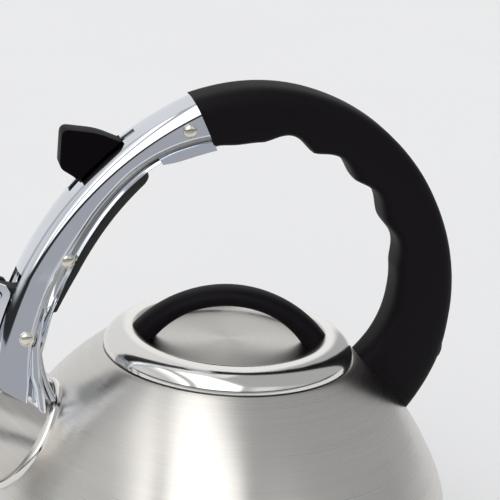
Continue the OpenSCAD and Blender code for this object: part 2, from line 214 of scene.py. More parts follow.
@dataclass(frozen=True)
class Finish:
    """One finish: what a surface is made of and how it was worked."""

    name: str
    slot: Slot
    colour: tuple[float, float, float] = (0.6, 0.6, 0.6)
    roughness: float = 0.4

    def material(self) -> bpy.types.Material:
        """Returns the finish's material, made on its first use."""
        found = bpy.data.materials.get(self.name)
        if found:
            return found
        made = bpy.data.materials.new(self.name)
        made.use_nodes = True
        graph = Graph(made.node_tree)
        sockets = self.paint(graph)
        shader = graph.term("ShaderNodeBsdfPrincipled", 0, {}, sockets)
        graph.add("ShaderNodeOutputMaterial", {}, {"Surface": shader})
        return made

    def paint(self, graph: Graph) -> dict[str, Value]:
        """Returns the shader's sockets; each finish has its own."""
        raise NotImplementedError

    def place(self, graph: Graph) -> Term:
        """Returns the object coordinates."""
        return graph.term("ShaderNodeTexCoord", "Object")

    def bump(self, graph: Graph, height: Term, depth: float, strength: float) -> Term:
        """Returns a bumped normal.

        Args:
            graph: the material's graph.
            height: the height pattern, 0 to 1.
            depth: the pattern's depth in metres.
            strength: how much of it shows.

        Returns:
            The normal.
        """
        sockets = {"Height": height, "Distance": depth, "Strength": strength}
        return graph.term("ShaderNodeBump", "Normal", {}, sockets)


@dataclass(frozen=True)
class TurnedSteel(Finish):
    """Steel brushed round the kettle's axis, in fine rings."""

    pitch: float = 1500.0
    spread: float = 0.75

    def paint(self, graph: Graph) -> dict[str, Value]:
        """Rings of fine scratches, a little uneven in shade and gloss."""
        place = self.place(graph)
        x, y, z = graph.axes(place)
        radius = graph.math("SQRT", x * x + y * y)
        lines = graph.vector(X=x * 14.0, Y=y * 14.0, Z=(z - radius) * self.pitch)
        fine = graph.noise(lines, 1.0, 3.0)
        broad = graph.noise(lines, 0.17, 2.0)
        cloud = graph.noise(place, 16.0, 2.0)
        mixed = fine * 0.55 + broad * 0.3 + cloud * 0.15
        low = tuple(0.80 * c for c in self.colour)
        high = tuple(min(1.0, 1.16 * c) for c in self.colour)
        rough = self.roughness - 0.07 + fine * 0.10 + cloud * 0.04
        return {
            "Base Color": graph.blend(mixed, low, high),
            "Metallic": 1.0,
            "Roughness": rough,
            "Anisotropic": self.spread,
            "Anisotropic Rotation": 0.25,
            "Normal": self.bump(graph, fine * 0.7 + broad * 0.3, 0.00002, 0.35),
        }


@dataclass(frozen=True)
class BufferedSteel(Finish):
    """Polished or plated metal with the faint haze that wiping leaves."""

    haze: float = 0.05
    ripple: float = 0.0

    def paint(self, graph: Graph) -> dict[str, Value]:
        """Near mirror, with clouded gloss and a very slight unevenness."""
        place = self.place(graph)
        cloud = graph.noise(place, 34.0, 3.0)
        smear = graph.noise(place, 210.0, 2.0)
        wave = graph.noise(place, 70.0, 1.0)
        low = tuple(0.94 * c for c in self.colour)
        high = tuple(min(1.0, 1.05 * c) for c in self.colour)
        rough = self.roughness + cloud * smear * self.haze
        return {
            "Base Color": graph.blend(cloud, low, high),
            "Metallic": 1.0,
            "Roughness": rough,
            "Normal": self.bump(graph, wave, 0.0001, self.ripple),
        }


@dataclass(frozen=True)
class SatinMetal(Finish):
    """Small satin metal parts: pins, screws, rivets and the spring."""

    grain: float = 1400.0

    def paint(self, graph: Graph) -> dict[str, Value]:
        """A speckled satin surface."""
        place = self.place(graph)
        speck = graph.noise(place, self.grain, 3.0)
        cloud = graph.noise(place, 260.0, 2.0)
        low = tuple(0.82 * c for c in self.colour)
        high = tuple(min(1.0, 1.10 * c) for c in self.colour)
        return {
            "Base Color": graph.blend(speck * 0.5 + cloud * 0.5, low, high),
            "Metallic": 1.0,
            "Roughness": self.roughness + speck * 0.08,
            "Normal": self.bump(graph, speck, 0.00003, 0.3),
        }


@dataclass(frozen=True)
class MouldedBlack(Finish):
    """Moulded black plastic or rubber with a fine spark-eroded grain."""

    grain: float = 1900.0
    depth: float = 0.00006
    gloss: float = 0.14

    def paint(self, graph: Graph) -> dict[str, Value]:
        """A fine pebbled grain, worn a little smoother in soft patches."""
        place = self.place(graph)
        cells = {"Vector": place, "Scale": self.grain, "Smoothness": 0.7}
        pebble = graph.term("ShaderNodeTexVoronoi", "Distance", {"feature": "SMOOTH_F1"}, cells)
        cloud = graph.noise(place, 45.0, 3.0)
        dust = graph.noise(place, self.grain * 0.8, 2.0)
        low = tuple(0.8 * c for c in self.colour)
        high = tuple(1.5 * c for c in self.colour)
        return {
            "Base Color": graph.blend(cloud * 0.5 + dust * 0.5, low, high),
            "Roughness": self.roughness - 0.06 + cloud * 0.12 + dust * 0.04,
            "Specular IOR Level": self.gloss,
            "Normal": self.bump(graph, pebble, self.depth, 0.55),
        }


STEEL = TurnedSteel("turned_steel", Slot.BRUSHED, (0.69, 0.668, 0.635), 0.29, 1500.0, 0.85)
# The lid's brushed steel has a darker colour than the body's: painted shade, so the upturned disc and
# slope read darker.
LID_STEEL = TurnedSteel("turned_lid_steel", Slot.BRUSHED, (0.56, 0.545, 0.52), 0.31, 1900.0, 0.85)
TUBE_STEEL = TurnedSteel("drawn_steel", Slot.BRUSHED, (0.68, 0.655, 0.62), 0.24, 1500.0, 0.0)
MIRROR = BufferedSteel("polished_steel", Slot.POLISHED, (0.80, 0.775, 0.735), 0.05, 0.06, 0.03)
CHROME = BufferedSteel("bright_chrome", Slot.CHROME, (0.77, 0.80, 0.85), 0.04, 0.05, 0.05)
NICKEL = SatinMetal("satin_nickel", Slot.NICKEL, (0.80, 0.77, 0.68), 0.16)
SPRING = SatinMetal("spring_wire", Slot.SPRING, (0.46, 0.45, 0.43), 0.22)
CORE = SatinMetal("cast_aluminium", Slot.CORE, (0.70, 0.71, 0.72), 0.42, 900.0)
GRIP_BLACK = MouldedBlack("soft_black_grip", Slot.GRIP, (0.0026, 0.0014, 0.0026), 0.55)
TAB_BLACK = MouldedBlack("soft_black_tab", Slot.GRIP, (0.0012, 0.0004, 0.0012), 0.5, gloss=0.07)
NYLON = MouldedBlack("black_nylon", Slot.NYLON, (0.0012, 0.0010, 0.0014), 0.40, 1300.0, 0.00003, 0.10)
SEAL = MouldedBlack("grey_seal", Slot.SEAL, (0.055, 0.055, 0.058), 0.6, 900.0, 0.00004)


# ---------------------------------------------------------------------- shapes


def rise(stops: Sequence[Point], x: float) -> float:
    """Smooth curve through a few stops that never overshoots.

    Args:
        stops: (x, y) pairs with x increasing.
        x: where to read it; beyond the ends the end value holds.

    Returns:
        The curve's height at x.
    """
    if x <= stops[0][0]:
        return stops[0][1]
    if x >= stops[-1][0]:
        return stops[-1][1]
    k = max(i for i in range(len(stops) - 1) if stops[i][0] <= x)

    def slope(i: int) -> float:
        """Slope at a stop, flat where the curve turns."""
        if i == 0 or i == len(stops) - 1:
            j = min(i, len(stops) - 2)
            return (stops[j + 1][1] - stops[j][1]) / (stops[j + 1][0] - stops[j][0])
        a = (stops[i][1] - stops[i - 1][1]) / (stops[i][0] - stops[i - 1][0])
        b = (stops[i + 1][1] - stops[i][1]) / (stops[i + 1][0] - stops[i][0])
        return 0.0 if a * b <= 0 else 2 * a * b / (a + b)

    (x0, y0), (x1, y1) = stops[k], stops[k + 1]
    width = x1 - x0
    t = (x - x0) / width
    m0, m1 = slope(k) * width, slope(k + 1) * width
    return (
        y0 * (2 * t**3 - 3 * t**2 + 1)
        + m0 * (t**3 - 2 * t**2 + t)
        + y1 * (3 * t**2 - 2 * t**3)
        + m1 * (t**3 - t**2)
    )


def spread(start: float, stop: float, count: int) -> list[float]:
    """Evenly spaced numbers, both ends among them."""
    return [start + (stop - start) * i / (count - 1) for i in range(count)]


def arc(centre: Point, radius: float, start: float, stop: float, count: int) -> list[Point]:
    """Points on a circle between two angles in degrees."""
    x, y = centre
    turns = (math.radians(a) for a in spread(start, stop, count))
    return [(x + radius * math.cos(a), y + radius * math.sin(a)) for a in turns]


def blunt(angle: float, power: float) -> Point:
    """A point of a unit circle that a power below 1 squares off."""
    across, up = math.cos(angle), math.sin(angle)
    return math.copysign(abs(across) ** power, across), math.copysign(abs(up) ** power, up)


def bisect(low: float, high: float, beyond: Callable[[float], bool]) -> float:
    """Closes in on the place in a range where a test turns true.

    Args:
        low: the range's start, where the test is false.
        high: the range's end, where it is true.
        beyond: the test.

    Returns:
        The place.
    """
    for _ in range(30):
        middle = (low + high) / 2
        if beyond(middle):
            high = middle
        else:
            low = middle
    return high


class Skin:
    """A mesh under construction, in millimetres."""

    def __init__(self) -> None:
        """Starts empty."""
        self.mesh = bmesh.new()

    def lathe(self, profile: Sequence[Point], turns: int = 192) -> "Skin":
        """Adds a closed outline of (radius, height) turned round Z.

        Args:
            profile: the outline's corners, in order.
            turns: steps in a whole turn.

        Returns:
            This skin.
        """
        rings = []
        for radius, height in profile:
            if radius < 1e-6:
                rings.append([self.mesh.verts.new((0, 0, height))])
                continue
            angles = (math.tau * i / turns for i in range(turns))
            ring = [(radius * math.cos(a), radius * math.sin(a), height) for a in angles]
            rings.append([self.mesh.verts.new(corner) for corner in ring])
        for k, low in enumerate(rings):
            high = rings[(k + 1) % len(rings)]
            if len(low) == 1 and len(high) == 1:
                continue
            for i in range(turns):
                j = (i + 1) % turns
                if len(low) == 1:
                    self.mesh.faces.new((low[0], high[i], high[j]))
                elif len(high) == 1:
                    self.mesh.faces.new((low[i], low[j], high[0]))
                else:
                    self.mesh.faces.new((low[i], low[j], high[j], high[i]))
        return self

    def loft(self, sections: Sequence[Sequence[Vector]], closed: bool, capped: bool) -> "Skin":
        """Adds a surface through sections that have equal numbers of points.

        Args:
            sections: rows of points, one row for each section.
            closed: whether each section is a loop.
            capped: whether the first and last sections are filled.

        Returns:
            This skin.
        """
        rows = [[self.mesh.verts.new(p) for p in section] for section in sections]
        count = len(rows[0])
        for low, high in zip(rows, rows[1:]):
            for i in range(count if closed else count - 1):
                j = (i + 1) % count
                self.mesh.faces.new((low[i], low[j], high[j], high[i]))
        if capped:
            self.mesh.faces.new(rows[0])
            self.mesh.faces.new(rows[-1])
        return self

    def slab(self, outline: Sequence[Point], low: float, high: float) -> "Skin":
        """Adds an outline in X and Z made solid between two Y values."""
        rows = [[Vector((x, y, z)) for x, z in outline] for y in (low, high)]
        return self.loft(rows, True, True)

    def moved(self, matrix: Matrix) -> "Skin":
        """Places everything so far by a matrix."""
        self.mesh.transform(matrix)
        return self

    def plain(self, name: str, outward: bool = True) -> bpy.types.Object:
        """Writes the mesh, in metres, as a bare object.

        Args:
            name: the object's name.
            outward: whether to turn a closed skin's faces outwards.

        Returns:
            The new object.
        """
        bmesh.ops.remove_doubles(self.mesh, verts=self.mesh.verts, dist=1e-4)
        if outward:
            bmesh.ops.recalc_face_normals(self.mesh, faces=self.mesh.faces)
        self.mesh.transform(Matrix.Scale(MM, 4))
        data = bpy.data.meshes.new(name)
        self.mesh.to_mesh(data)
        self.mesh.free()
        made = bpy.data.objects.new(name, data)
        bpy.context.scene.collection.objects.link(made)
        return made


def settle_modifiers(piece: bpy.types.Object) -> None:
    """Makes a piece's modifiers part of its mesh and takes them off."""
    graph = bpy.context.evaluated_depsgraph_get()
    data = bpy.data.meshes.new_from_object(piece.evaluated_get(graph))
    piece.modifiers.clear()
    old = piece.data
    piece.data = data
    bpy.data.meshes.remove(old)


def carve(piece: bpy.types.Object, *tools: bpy.types.Object) -> None:
    """Cuts tools away from a piece exactly, then removes them."""
    for tool in tools:
        cut = piece.modifiers.new("cut", "BOOLEAN")
        cut.operation = "DIFFERENCE"
        cut.solver = "EXACT"
        cut.object = tool
    settle_modifiers(piece)
    for tool in tools:
        bpy.data.objects.remove(tool)


def round_off(before: Point, corner: Point, after: Point, reach: float) -> list[Point]:
    """Points that round one corner of an outline.

    Args:
        before: the outline's point before the corner.
        corner: the corner itself.
        after: the outline's point after the corner.
        reach: how far from the corner the rounding starts.

    Returns:
        Nine points from one side of the corner to the other.
    """
    here = Vector(corner)
    start = here + (Vector(before) - here).normalized() * reach
    end = here + (Vector(after) - here).normalized() * reach
    found = []
    for t in spread(0, 1, 9):
        p = start * (1 - t) ** 2 + here * (2 * t * (1 - t)) + end * t**2
        found.append((p.x, p.y))
    return found


def soften(piece: bpy.types.Object, width: float, segments: int = 2) -> None:
    """Rounds a piece's sharp edges by a width in millimetres."""
    bevel = piece.modifiers.new("edge", "BEVEL")
    bevel.width = width * MM
    bevel.segments = segments
    bevel.limit_method = "ANGLE"
    bevel.angle_limit = math.radians(40)
    settle_modifiers(piece)


def fit(
    piece: bpy.types.Object,
    body: Body,
    finish: Finish,
    *nodes: str,
    crease: float = 35.0,
) -> bpy.types.Object:
    """Gives a piece its finish, its body and the CAD nodes it stands for.

    Args:
        piece: the finished mesh.
        body: the body that it rides on.
        finish: its finish.
        nodes: the CAD nodes that it replaces.
        crease: the angle past which an edge looks sharp, in degrees.

    Returns:
        The piece.
    """
    data = piece.data
    data.materials.clear()
    data.materials.append(finish.material())
    data.shade_smooth()
    data.set_sharp_from_angle(angle=math.radians(crease))
    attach(piece, body.value)
    if nodes:
        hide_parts(*nodes)
    LOG.info("%s rides on %s", piece.name, body.value)
    return piece


def dress(finish: Finish, *nodes: str) -> None:
    """Gives CAD nodes that stay as they are a finish."""
    for name in nodes:
        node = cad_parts[name]
        node.data.materials.clear()
        node.data.materials.append(finish.material())
        LOG.info("%s keeps its CAD shape", name)


# --------------------------------------------------------- the kettle's vessel


@dataclass
class Vessel:
    """The drawn steel body with its neck, pan and base."""

    belly: float = 103.0
    belly_z: float = 46.0
    join_z: float = 74.2
    seam_z: float = 12.0
    floor_z: float = 4.2
    base: float = 82.0
    wall: float = 1.2

    def dome(self, z: float) -> float:
        """Radius of the upper dome's ellipse at a height."""
        return 111.7 * math.sqrt(max(0.0, 1 - ((z - 3.5) / 133.8) ** 2))

    def radius(self, z: float) -> float:
        """Outer radius of the vessel at a height."""
        if z > self.join_z:
            return self.dome(z)
        if z > self.belly_z:
            part = (z - self.belly_z) / (self.join_z - self.belly_z)
            return self.belly - (self.belly - self.dome(self.join_z)) * part**2
        part = (self.belly_z - z) / (self.belly_z - self.floor_z)
        drop = 1 - (1 - min(1.0, part) ** 2.6) ** (1 / 2.6)
        return self.belly - (self.belly - self.base - 2) * drop

    def inner(self, z: float, depth: Optional[float] = None) -> Point:
        """The point set in from the outside by a depth, square to it."""
        depth = self.wall if depth is None else depth
        slope = (self.radius(z + 0.05) - self.radius(z - 0.05)) / 0.1
        size = math.hypot(1, slope)
        return self.radius(z) - depth / size, z + depth * slope / size

    def solid(self, grow: float = 0.0) -> bpy.types.Object:
        """The whole vessel as one cutting solid, grown outwards a little."""
        heights = spread(self.seam_z, 118.0, 90)
        side = [self.inner(z, -grow) if grow else (self.radius(z), z) for z in heights]
        outline = [(0.0, self.seam_z), *side, (57.0 + grow, 118.57), (0.0, 122 + grow)]
        return Skin().lathe(outline).plain("vessel_cutter")

    def build(self, spout: "Spout") -> None:
        """Makes the shell, neck, pan, heat disc and base cover."""
        heights = spread(self.seam_z, 118.0, 96)
        shoulder = [(57, 118.6), (56.2, 119.1), (55.7, 119.38), (55.4, 119.5), (55.1, 119.5)]
        shoulder += [(54.8, 119.38), (54, 118.9), (53.2, 118.3), (47.05, 118.2)]
        outside = [(self.radius(z), z) for z in heights]
        inside = [self.inner(z) for z in reversed(heights)]
        outline = [*outside, *shoulder, (47.05, 117.0), (55.4, 117.0), *inside]
        shell = Skin().lathe(outline, 256).plain("drawn_shell")
        hole = Skin().lathe([(0, -20), (20.5, -20), (20.5, 20), (0, 20)], 96)
        carve(shell, hole.moved(spout.place()).plain("spout_cutter"))
        fit(shell, Body.KETTLE, STEEL, "body_shell", crease=30)

        low = [(self.radius(z), z) for z in spread(self.floor_z, self.seam_z, 16)]
        back = [self.inner(z) for z in spread(self.seam_z, 6.6, 10)]
        pan = [*low, *back, (81, 5.4), (0, 5.4), (0, self.floor_z)]
        fit(Skin().lathe(pan, 192).plain("lower_pan"), Body.KETTLE, STEEL, "base_pan")

        edge = arc((self.base - 1.6, 1.6), 1.6, -90, 0, 6)
        cover = [(0, 0), *edge, (self.base, self.floor_z), (self.base - 0.8, self.floor_z)]
        cover += [(self.base - 0.8, 0.8), (0, 0.8)]
        fit(Skin().lathe(cover).plain("base_cover_disc"), Body.KETTLE, STEEL, "base_cover")
        neck = [(45.8, 109.3), (46.1, 109), (46.7, 109), (47, 109.3), (47, 118.2), (46.4, 118.2)]
        neck.append((45.8, 117.6))
        fit(Skin().lathe(neck).plain("neck_band"), Body.KETTLE, STEEL, "neck_ring")
        dress(CORE, "heat_disc")


@dataclass
class Spout:
    """The tapered spout, its rolled lip and the bright collar at its root."""

    root: Point = (-91.4, 82.4)
    tilt: float = 26.0
    outer: float = 24.3
    mouth: float = 20.5
    length: float = 45.0

    def place(self, along: float = 0.0) -> Matrix:
        """The spout's own frame, with Z along its axis."""
        turn = Matrix.Rotation(math.radians(self.tilt - 90), 4, "Y")
        start = Matrix.Translation((self.root[0], 0, self.root[1]))
        return start @ turn @ Matrix.Translation((0, 0, along))

    def bead(self) -> list[Point]:
        """The collar's section: radius, and height above the dome there."""
        round_over = arc((self.outer + 1.5, 0.7), 1.45, 165, -10, 12)
        return [(self.outer + 0.02, -0.4), *round_over, (self.outer + 3.1, -0.4)]

    def meets(self, vessel: Vessel, psi: float, radius: float) -> float:
        """Distance along the axis at which a line on the spout meets the dome.

        Args:
            vessel: the vessel.
            psi: the line's angle round the axis.
            radius: its distance from the axis.

        Returns:
            The distance from the spout's root.
        """
        place = self.place()

        def outside(along: float) -> bool:
            """Whether the line's point at a distance lies outside the dome."""
            p = place @ Vector((radius * math.cos(psi), radius * math.sin(psi), along))
            return math.hypot(p.x, p.y) > vessel.radius(p.z)

        return bisect(-14.0, 12.0, outside)

    def build(self, vessel: Vessel) -> None:
        """Makes the tube, the collar and the lip."""
        out = [(self.outer, s) for s in (-14, 0, 8)]
        taper = [
            (self.outer + (self.mouth - self.outer) * t, 8 + (self.length - 8) * t)
            for t in spread(0, 1, 14)[1:]
        ]
        inn = [(r - 1.2, s) for r, s in reversed([*out, *taper])]
        tube = Skin().lathe([*out, *taper, *inn], 160).moved(self.place())
        tube = tube.plain("drawn_spout")
        carve(tube, vessel.solid())
        fit(tube, Body.KETTLE, TUBE_STEEL, "spout_tube")

        rows = []
        for k in range(181):
            psi = math.tau * k / 180
            row = []
            for radius, over in self.bead():
                along = self.meets(vessel, psi, radius) + over
                row.append(Vector((radius * math.cos(psi), radius * math.sin(psi), along)))
            rows.append(row)
        collar = Skin().loft(rows, True, False).moved(self.place()).plain("bright_collar")
        fit(collar, Body.KETTLE, MIRROR, "spout_collar")

        roll = arc((self.mouth + 0.1, -0.8), 1.2, 90, -70, 12)
        lip = [(self.mouth - 1.2, 0.4), *roll, (self.mouth, -2), (self.mouth, 0)]
        lip.append((self.mouth - 1.2, 0))
        ring = Skin().lathe(lip, 128).moved(self.place(self.length))
        fit(ring.plain("rolled_lip"), Body.KETTLE, MIRROR, "spout_lip")


# ------------------------------------------------------------------------- lid


@dataclass
class Lid:
    """The lift-off lid: polished rim, brushed disc, sleeve and arched handle."""

    radius: float = 55.0
    seat: float = 120.0
    turn: float = -10.0
    width: float = 14.0
    sleeve: float = 12.0
    foot_x: float = 39.0
    crest_r: float = 43.0
    crest_z: float = 128.4
    dish_r: float = 36.0
    dish_z: float = 124.2
    arch_r: float = 48.3
    arch_z: float = 96.5
    thick: float = 8.0

    def build(self) -> None:
        """Makes every piece of the lid."""
        self.build_rim()
        self.build_disc()
        self.build_sleeve()
        self.build_handle()
        dress(NICKEL, "lid_washers")

    def slope(self, part: float) -> Point:
        """The soft slope from the rim's crest (0) down to the disc (1)."""
        radius = self.crest_r - (self.crest_r - self.dish_r) * part
        fall = (1 + math.cos(math.pi * part)) / 2
        return radius, self.dish_z + (self.crest_z - self.dish_z) * fall

    def brow(self, degrees: float, inset: float = 0.0) -> Point:
        """The rim's broad outer roll, 0 at its foot and 90 at its crest."""
        a = math.radians(degrees)
        return (
            self.crest_r + (12 - inset) * math.cos(a),
            self.seat + 0.6 + (7.8 - inset) * math.sin(a),
        )

    def build_rim(self) -> None:
        """The polished roll of the rim and the brushed slope inside it."""
        outer = [(self.radius - 0.6, self.seat - 0.1), (self.radius, self.seat + 0.2)]
        outer += [self.brow(d) for d in spread(0, 90, 40)]
        lower = [self.brow(d, 1.15) for d in spread(90, 10, 12)]
        close = [(self.radius - 1.4, self.seat + 1.1), (self.radius - 6, self.seat + 1.1)]
        close.append((self.radius - 6, self.seat - 0.1))
        seam = [(self.crest_r, self.crest_z - 0.9), (self.crest_r + 0.4, self.crest_z - 1.2)]
        rim = Skin().lathe([*outer, *seam, *lower, *close], 256)
        fit(rim.plain("rolled_rim"), Body.LID, MIRROR, "lid_rim")
        inner = [self.slope(u) for u in spread(0, 1, 26)]
        foot = [(self.dish_r, self.seat + 2.3), (self.dish_r + 1.1, self.seat + 2.3)]
        under = [(r + 0.35, z - 1.1) for r, z in map(self.slope, spread(0.86, 0.1, 10))]
        satin = Skin().lathe([*inner, *foot, *under], 256)
        fit(satin.plain("rim_slope"), Body.LID, LID_STEEL)

    def build_disc(self) -> None:
        """The gently domed top, brushed in rings."""
        edge = self.dish_r - 0.02
        low = self.seat + 2.4
        turns = (math.radians(d) for d in spread(0, 90, 24))
        top = [(edge * math.cos(a), low + 0.8 + 1.2 * math.sin(a)) for a in turns]
        disc = Skin().lathe([(0, low), (edge, low), *top], 192)
        fit(disc.plain("domed_disc"), Body.LID, LID_STEEL, "lid_disc")

    def build_sleeve(self) -> None:
        """The sleeve that drops into the neck."""
        out, low = self.radius - 9.8, self.seat - self.sleeve
        top = self.seat - 0.1
        shape = [(out - 1.3, top), (out + 7.6, top), (out + 7.6, top - 1.2), (out, top - 1.2)]
        shape += [(out, low + 1.6), (out - 0.5, low + 0.3), (out - 1.0, low), (out - 1.3, low)]
        fit(Skin().lathe(shape).plain("lid_skirt"), Body.LID, STEEL, "lid_sleeve")

    def build_handle(self) -> None:
        """The moulded arch, an oval bar bent between its two feet."""
        sections = []
        for lean in (math.radians(d) for d in spread(-60, 60, 121)):
            ahead = Vector((math.sin(lean), 0, math.cos(lean)))
            swell = max(0.0, (abs(lean) - 0.35) / 0.6) ** 1.4
            middle = Vector((0, 0, self.arch_z)) + ahead * (self.arch_r - 0.35 - 0.3 * swell)
            deep = self.thick / 2 + 0.35 + 1.2 * swell
            loop = []
            for k in range(40):
                u, v = blunt(math.tau * k / 40, 0.86)
                loop.append(middle + ahead * deep * u + Vector((0, self.width / 2 * v, 0)))
            sections.append(loop)
        turn = Matrix.Rotation(math.radians(self.turn), 4, "Z")
        handle = Skin().loft(sections, True, True).moved(turn).plain("arched_handle")
        under = [(0, self.seat - 20), (0, self.seat + 4.4), (self.dish_r, self.dish_z)]
        under += [self.slope(u) for u in spread(0.95, 0, 20)]
        under += [self.brow(d) for d in spread(86, 0, 20)] + [(self.radius, self.seat - 20)]
        carve(handle, Skin().lathe(under, 96).plain("rim_cutter"))
        fit(handle, Body.LID, GRIP_BLACK, "lid_handle", crease=50)


# ------------------------------------------------------- channel, grip, trigger


@dataclass
class Channel:
    """The pressed bright channel that carries the grip on the spout side."""

    centre: Point = (47.7, 97.1)
    crown: float = 154.5
    half: float = 12.0
    seam: float = 62.3
    sheet: float = 1.1
    lip: tuple[Point, ...] = (
        (4, 136.5), (8, 136.9), (14, 136.2), (18.4, 136.0), (27, 136.4), (30.6, 137.2),
        (35.6, 138.2), (40, 139.2), (45, 140.0), (50, 140.2), (54, 139.3), (57.6, 137.6),
        (62.3, 134.6),
    )
    flange: tuple[Point, ...] = ((6, 3.4), (12, 2.6), (20, 1.1), (62.3, 0.9))
    crease: tuple[Point, ...] = (
        (2, 137.4), (8, 139.2), (13, 140.5), (19, 141.0), (30, 141.6), (34, 142.1), (39, 143.2),
        (43, 143.8), (47, 144.3), (51, 143.9), (55, 142.6), (58.5, 140.8), (62.3, 138.2),
    )

    def point(self, angle: float, radius: float, y: float = 0.0) -> Vector:
        """A point at an angle up from the spout side and a radius."""
        a = math.radians(angle)
        x, z = self.centre
        return Vector((x - radius * math.cos(a), y, z + radius * math.sin(a)))

    def at(self, angle: float, radius: float) -> Point:
        """The X and Z of a point in the middle plane."""
        p = self.point(angle, radius)
        return p.x, p.z

    def path(self, radius: float, a0: float, a1: float, count: int) -> list[Point]:
        """X and Z of points along one of the channel's curves."""
        return [self.at(a, radius) for a in spread(a0, a1, count)]

    def flare(self, z: float) -> float:
        """How much wider each cheek stands at a height, over the spout."""
        return 0.0 if z > 156 else 4.9 * min(1.0, (156 - z) / 58) ** 1.6

    def foot_angle(self, radius: float, y: float, spout: "Spout") -> float:
        """The angle at which the sheet meets the spout, for a radius.

        Args:
            radius: the point's radius.
            y: its distance from the middle plane, before the flare.
            spout: the spout that the foot straddles.

        Returns:
            The angle in degrees.
        """
        tilt = math.radians(spout.tilt)
        x0, z0 = spout.root

        def above(angle: float) -> bool:
            """Whether the sheet's point at an angle stands above the spout."""
            p = self.point(angle, radius)
            wide = abs(y) * (1 + self.flare(p.z) / self.half)
            over = math.sqrt(max(0.0, (spout.outer + 0.05) ** 2 - wide**2))
            return math.sin(tilt) * (p.x - x0) + math.cos(tilt) * (p.z - z0) > over

        return bisect(-6.0, 24.0, above)

    def half_section(self, angle: float) -> list[Point]:
        """Half of the pressed section, from the crown's middle to the lip.

        Args:
            angle: the station's angle.

        Returns:
            (radius, y) pairs for the level part of the channel.
        """
        lip, fold = rise(self.lip, angle), rise(self.crease, angle)
        bend = 6.07
        flat = [(self.crown - (y / 7.5) ** 2, y) for y in (0, 1.5, 3, 4.5, 6, 7.4)]
        heart = self.crown - 1 - bend * math.cos(math.radians(15))
        turned = [
            (heart + bend * math.cos(t), self.half - bend + bend * math.sin(t))
            for t in (math.radians(d) for d in spread(15, 90, 14))
        ]
        side = [(r, self.half) for r in spread(turned[-1][0], fold + 0.9, 6)[1:]]
        lean = math.radians(40)
        knee = [
            (fold + 0.9 - 1.5 * math.sin(t), self.half - 1.5 * (1 - math.cos(t)))
            for t in (lean * q for q in (0.33, 0.66, 1.0))
        ]
        r0, y0 = knee[-1]
        last = (lip, self.half - 2.9)
        band = []
        for t in (0.25, 0.5, 0.75, 1.0):
            bulge = 0.35 * math.sin(math.pi * t)
            band.append((r0 + (last[0] - r0) * t, y0 + (last[1] - y0) * t + bulge))
        tall, foot = rise(self.flange, angle), rise(((12, 1.0), (21, 0.0)), angle)
        edge = []
        for t in spread(0.08, 1, 9):
            swell = 0.7 * t * (1 - foot) + 1.9 * math.sin(math.pi * t) * foot
            edge.append((lip - tall * t, last[1] + swell))
        r1, y1 = edge[-1]
        hem = [(r1 - 0.3, y1 - 0.3), (r1 - 0.3, y1 - 0.9), (r1, y1 - 1.5)]
        return [*flat, *turned, *side, *knee, *band, *edge, *hem]

    def stations(self) -> list[float]:
        """Angles of the sections; below 24 degrees they follow the foot."""
        return [*spread(self.seam, 24, 70), *spread(23.4, 0, 44)]

    def shell(self, spout: Spout) -> bpy.types.Object:
        """The channel as a closed sheet, before its openings are cut."""
        rows = []
        for station in self.stations():
            part = self.half_section(max(station, 3.0))
            loop = [(r, -y) for r, y in reversed(part[1:])] + part
            row = []
            for r, y in loop:
                angle = station
                if station < 24:
                    end = self.foot_angle(r, y, spout)
                    angle = 24 - (24 - end) * (24 - station) / 24
                p = self.point(angle, r)
                grown = abs(y) / self.half * self.flare(p.z)
                p.y = math.copysign(abs(y) + grown, y)
                row.append(p)
            rows.append(row)
        piece = Skin().loft(rows, False, False).plain("pressed_channel", outward=False)
        self.turn_outward(piece)
        wall = piece.modifiers.new("sheet", "SOLIDIFY")
        wall.thickness = self.sheet * MM
        wall.offset = -1.0
        wall.use_even_offset = True
        settle_modifiers(piece)
        return piece

    def turn_outward(self, piece: bpy.types.Object) -> None:
        """Turns the open skin's faces away from the channel's hollow."""
        data = piece.data
        middle = data.polygons[len(self.half_section(40)) - 1]
        outward = middle.center - Vector((self.centre[0] * MM, 0, self.centre[1] * MM))
        if middle.normal.dot(outward) < 0:
            data.flip_normals()

    def cutter(self, a0: float, a1: float, half: float, name: str) -> bpy.types.Object:
        """A curved block that cuts an opening through the crown."""
        rows = []
        for a in spread(a0, a1, 24):
            corners = ((self.crown - 6, -half), (self.crown - 6, half))
            corners += ((self.crown + 6, half), (self.crown + 6, -half))
            rows.append([self.point(a, r, y) for r, y in corners])
        return Skin().loft(rows, True, True).plain(name)

    def build(self, vessel: Vessel, spout: Spout) -> None:
        """Makes the channel, its foot, its beads and the strip at the seam."""
        piece = self.shell(spout)
        window = self.cutter(3.6, 23, 8.6, "window_cutter")
        slot = self.cutter(38.1, 52.0, 2.7, "slot_cutter")
        carve(piece, window, slot)
        fit(piece, Body.KETTLE, CHROME, "front_bracket", crease=42)
        self.build_foot_strip(vessel, spout)
        self.build_beads()
        self.build_bridge()

